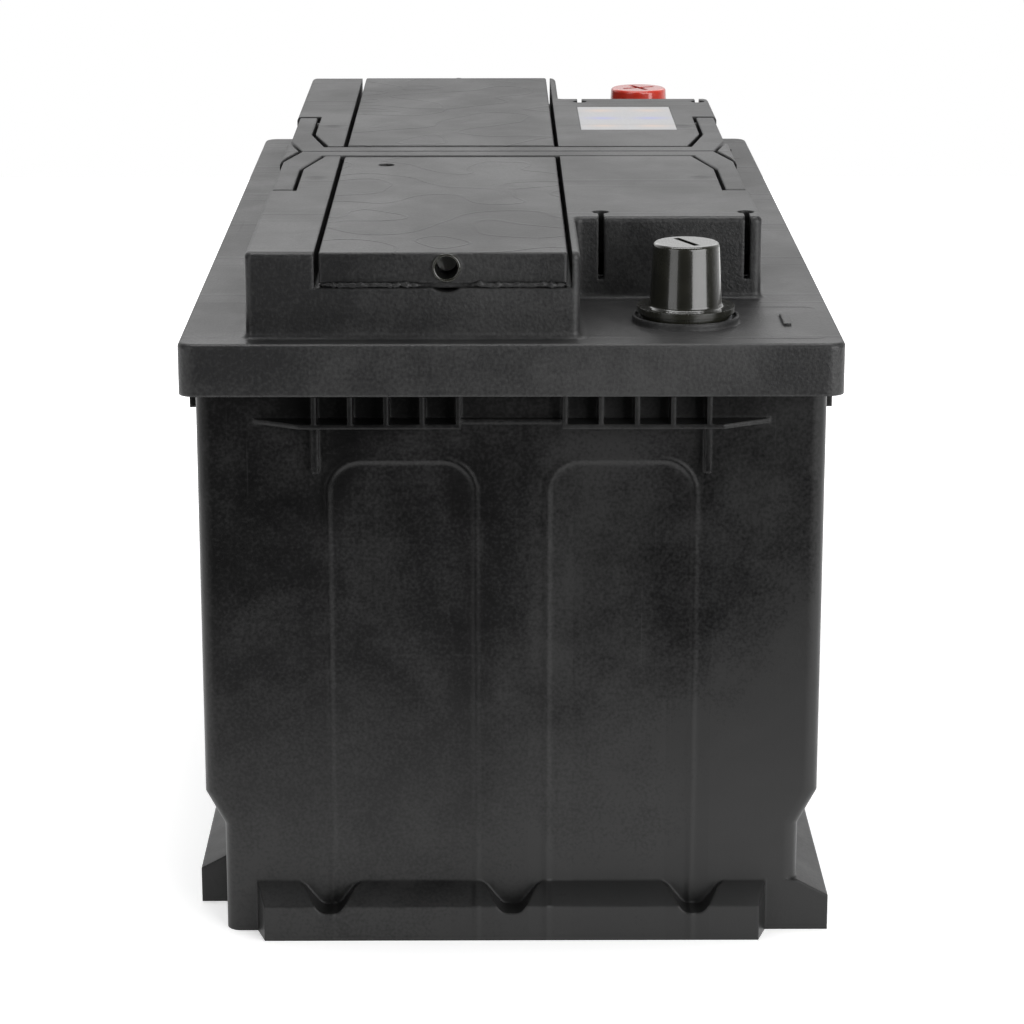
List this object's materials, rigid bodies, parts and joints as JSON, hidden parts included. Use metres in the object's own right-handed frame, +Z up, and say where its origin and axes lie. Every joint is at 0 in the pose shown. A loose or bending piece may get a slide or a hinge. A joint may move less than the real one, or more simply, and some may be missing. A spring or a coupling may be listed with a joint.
{
  "type": "deep cycle battery",
  "caption": "Lead-acid leisure battery: moulded case with hold-down lips, stepped lid, fold-flat handles, vent covers and capped tapered terminals.",
  "frame": {"origin": "centre of the footprint, on the surface the battery stands on", "axes": "+Z up, +Y along the length from the negative terminal's end to the positive terminal's end, +X across the width to the side that both terminals are on"},
  "size_m": [0.175, 0.353, 0.19],
  "materials": {
    "case_plastic": "satin black moulded polypropylene",
    "lid_plastic": "satin black moulded polypropylene",
    "cover_plastic": "satin black moulded polypropylene",
    "handle_plastic": "satin black moulded plastic",
    "cap_black": "glossy black",
    "cap_red": "glossy red",
    "label_film": "silvery film, faintly iridescent",
    "porous_frit": "porous white",
    "lead": "dull cast lead",
    "positive_paste": "brown lead dioxide paste",
    "negative_paste": "grey spongy lead paste",
    "separator_film": "thin grey polyethylene"
  },
  "bodies": {
    "battery": {"container": "case_plastic", "lid": "lid_plastic", "label_blank": "label_film", "vent_cover_front": "cover_plastic", "vent_cover_rear": "cover_plastic", "flame_arrestor_front": "porous_frit", "flame_arrestor_rear": "porous_frit", "terminal_bushing_negative": "lead", "terminal_bushing_positive": "lead", "terminal_post_negative": "lead", "terminal_post_positive": "lead", "positive_plates_1": "positive_paste", "negative_plates_1": "negative_paste", "separators_1": "separator_film", "positive_strap_1": "lead", "negative_strap_1": "lead", "positive_plates_2": "positive_paste", "negative_plates_2": "negative_paste", "separators_2": "separator_film", "positive_strap_2": "lead", "negative_strap_2": "lead", "positive_plates_3": "positive_paste", "negative_plates_3": "negative_paste", "separators_3": "separator_film", "positive_strap_3": "lead", "negative_strap_3": "lead", "positive_plates_4": "positive_paste", "negative_plates_4": "negative_paste", "separators_4": "separator_film", "positive_strap_4": "lead", "negative_strap_4": "lead", "positive_plates_5": "positive_paste", "negative_plates_5": "negative_paste", "separators_5": "separator_film", "positive_strap_5": "lead", "negative_strap_5": "lead", "positive_plates_6": "positive_paste", "negative_plates_6": "negative_paste", "separators_6": "separator_film", "positive_strap_6": "lead", "negative_strap_6": "lead", "intercell_connector_1_2": "lead", "intercell_connector_2_3": "lead", "intercell_connector_3_4": "lead", "intercell_connector_4_5": "lead", "intercell_connector_5_6": "lead"},
    "front_handle": {"handle_front": "handle_plastic"},
    "rear_handle": {"handle_rear": "handle_plastic"},
    "negative_cap": {"terminal_cap_negative": "cap_black"},
    "positive_cap": {"terminal_cap_positive": "cap_red"}
  },
  "joints": [
    {"name": "front_handle_hinge", "type": "hinge", "parent": "battery", "child": "front_handle", "pos_m": [0, -0.0682, 0.18675], "axis": [1, 0, 0], "range_deg": [0, 95]},
    {"name": "rear_handle_hinge", "type": "hinge", "parent": "battery", "child": "rear_handle", "pos_m": [0, 0.0682, 0.18675], "axis": [-1, 0, 0], "range_deg": [0, 95]},
    {"name": "negative_cap_pull", "type": "slide", "parent": "battery", "child": "negative_cap", "axis": [0, 0, 1], "range_m": [0, 0.03]},
    {"name": "positive_cap_pull", "type": "slide", "parent": "battery", "child": "positive_cap", "axis": [0, 0, 1], "range_m": [0, 0.03]}
  ]
}
